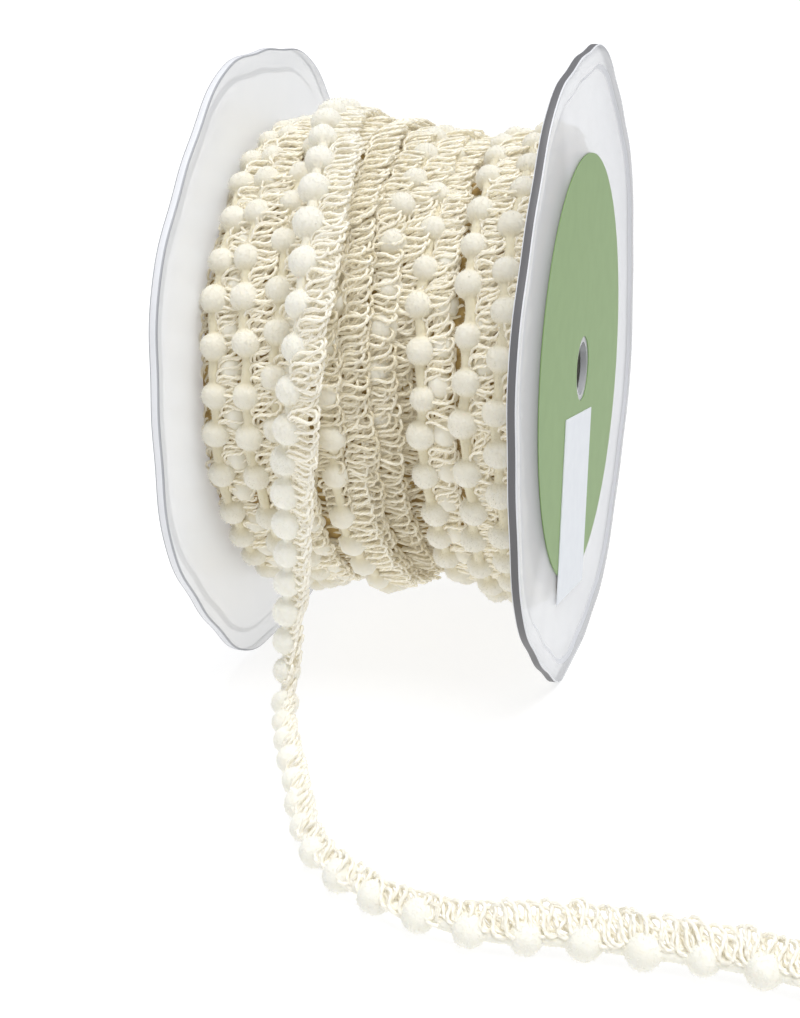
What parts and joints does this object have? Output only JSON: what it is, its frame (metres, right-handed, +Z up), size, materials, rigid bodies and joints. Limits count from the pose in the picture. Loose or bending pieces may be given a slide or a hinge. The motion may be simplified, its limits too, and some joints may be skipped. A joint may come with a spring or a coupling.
{
  "type": "pompom fringe trim on a spool",
  "caption": "Mini pompom fringe with a looped gimp heading, wound on a clear plastic spool with lobed flanges; its loose end hangs off the front and lies along the floor.",
  "frame": {"origin": "on the floor, below the middle of the spool", "axes": "+X along the spool's axis towards the flange with the paper disc, +Z up, -Y towards the loose end"},
  "size_m": [0.1145, 0.1507, 0.0993],
  "materials": {
    "pompom_yarn": "soft matt ivory pile",
    "braid_yarn": "glossy cream filament yarn, looped",
    "clear_plastic": "clear, polished, moulded",
    "white_plastic": "satin, moulded",
    "green_paper": "coated paper, satin",
    "white_paper": "uncoated paper, matt"
  },
  "bodies": {
    "root": {"winding": "pompom_yarn", "tail_pompoms": "pompom_yarn", "tail_heading": "braid_yarn", "flange_left": "clear_plastic", "flange_right": "clear_plastic", "barrel": "white_plastic", "label_disc": "green_paper", "sticker": "white_paper"}
  },
  "joints": []
}
